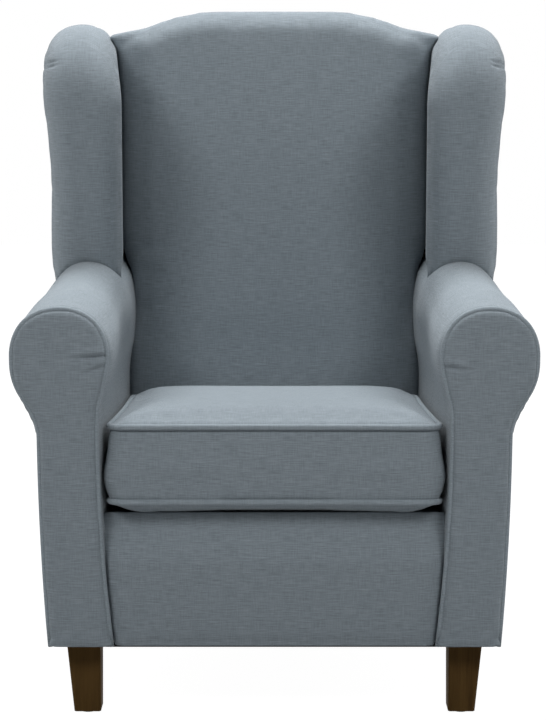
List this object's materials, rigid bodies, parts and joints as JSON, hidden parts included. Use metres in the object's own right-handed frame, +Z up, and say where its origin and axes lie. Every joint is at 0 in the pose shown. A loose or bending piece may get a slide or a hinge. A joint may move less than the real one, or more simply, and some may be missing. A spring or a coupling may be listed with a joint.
{
  "type": "wingback chair",
  "caption": "Upholstered wingback armchair with rolled arms, a serpentine back, a loose box cushion that lifts out and tapered wooden legs.",
  "frame": {"origin": "on the floor, under the middle of the bounding box", "axes": "+Z up, the front faces -Y, +X to the right as seen from the front"},
  "size_m": [0.772, 0.7999, 1.06],
  "materials": {
    "upholstery": "blue-grey slubbed weave",
    "piping": "same weave, over cord",
    "deck_cloth": "plain lining",
    "foam": "open foam",
    "webbing": "elastic strap",
    "dust_cloth": "black non-woven",
    "frame_wood": "sawn",
    "leg_wood": "dark stained, satin",
    "steel": "zinc plated",
    "glide_plastic": "matt",
    "zip": "matt"
  },
  "bodies": {
    "chair": {"back_crest_rail": "frame_wood", "back_pad": "upholstery", "back_tack_rail": "frame_wood", "back_webbing": "webbing", "corner_blocks": "frame_wood", "dust_cover": "dust_cloth", "front_apron": "upholstery", "front_seat_rail": "frame_wood", "left_arm_board": "frame_wood", "left_arm_facing": "upholstery", "left_arm_pad": "upholstery", "left_arm_rail": "frame_wood", "left_back_post": "frame_wood", "left_facing_piping": "piping", "left_front_leg": "leg_wood", "left_outside_panel": "upholstery", "left_rear_leg": "leg_wood", "left_seat_rail": "frame_wood", "left_wing_board": "frame_wood", "left_wing_pad": "upholstery", "leg_bolts": "steel", "leg_glides": "glide_plastic", "leg_inserts": "steel", "outside_back": "upholstery", "rear_seat_rail": "frame_wood", "right_arm_board": "frame_wood", "right_arm_facing": "upholstery", "right_arm_pad": "upholstery", "right_arm_rail": "frame_wood", "right_back_post": "frame_wood", "right_facing_piping": "piping", "right_front_leg": "leg_wood", "right_outside_panel": "upholstery", "right_rear_leg": "leg_wood", "right_seat_rail": "frame_wood", "right_wing_board": "frame_wood", "right_wing_pad": "upholstery", "seat_deck": "deck_cloth", "seat_webbing": "webbing"},
    "cushion": {"cushion_cover": "upholstery", "cushion_foam": "foam", "cushion_low_piping": "piping", "cushion_top_piping": "piping", "cushion_zip": "zip"}
  },
  "joints": [
    {"name": "cushion_lift", "type": "slide", "parent": "chair", "child": "cushion", "axis": [0, 0, 1], "range_m": [0, 0.8]}
  ]
}
